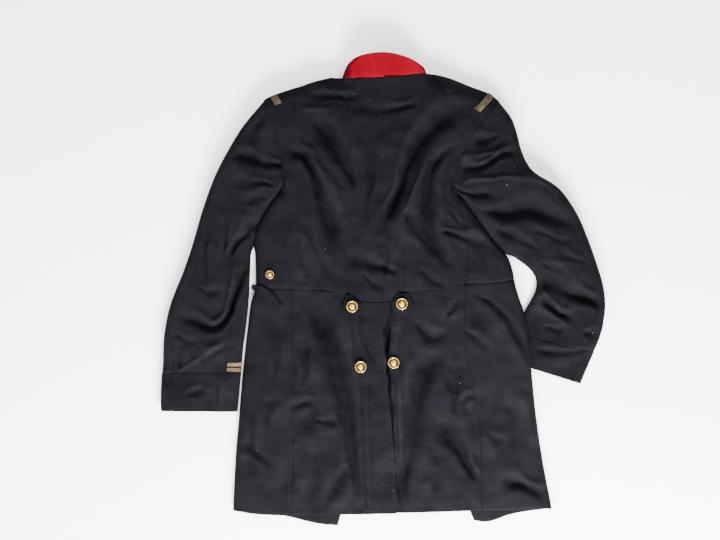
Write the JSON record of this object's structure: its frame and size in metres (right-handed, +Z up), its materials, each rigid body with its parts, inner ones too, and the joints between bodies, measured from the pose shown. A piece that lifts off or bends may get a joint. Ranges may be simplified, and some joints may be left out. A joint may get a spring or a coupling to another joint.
{
  "type": "military tunic",
  "caption": "Long-skirted black cloth tunic laid on its front, back seams and vent flaps uppermost, red stand collar and brass buttons.",
  "frame": {"origin": "on the table, under the middle of the tunic's bounding box", "axes": "+Y from the hem towards the collar, +X from the wearer's left sleeve towards the right sleeve, +Z up off the table"},
  "size_m": [0.828, 0.8768, 0.035],
  "materials": {
    "black_cloth": "matt milled wool broadcloth",
    "red_cloth": "matt milled wool broadcloth",
    "gold_lace": "woven metal-thread lace, tarnished",
    "brass": "struck brass, dulled by age"
  },
  "bodies": {
    "root": {"back_button_left_1": "brass", "back_button_left_2": "brass", "back_button_right_1": "brass", "back_button_right_2": "brass", "back_left": "black_cloth", "back_right": "black_cloth", "belt_tab": "black_cloth", "belt_tab_button": "brass", "braid_left_1": "gold_lace", "braid_left_2": "gold_lace", "braid_right_1": "gold_lace", "braid_right_2": "gold_lace", "collar": "red_cloth", "collar_inside": "black_cloth", "cuff_left": "black_cloth", "cuff_right": "black_cloth", "front_button_1": "brass", "front_button_2": "brass", "front_button_3": "brass", "front_button_4": "brass", "front_button_5": "brass", "front_button_6": "brass", "front_button_7": "brass", "front_left": "black_cloth", "front_right": "black_cloth", "shoulder_loop_left": "gold_lace", "shoulder_loop_right": "gold_lace", "shoulder_patch_left": "black_cloth", "shoulder_patch_right": "black_cloth", "side_left": "black_cloth", "side_right": "black_cloth", "skirt_back_left": "black_cloth", "skirt_back_right": "black_cloth", "skirt_front_left": "black_cloth", "skirt_front_right": "black_cloth", "sleeve_left_top": "black_cloth", "sleeve_left_under": "black_cloth", "sleeve_right_top": "black_cloth", "sleeve_right_under": "black_cloth", "vent_flap_left": "black_cloth", "vent_flap_right": "black_cloth"}
  },
  "joints": []
}
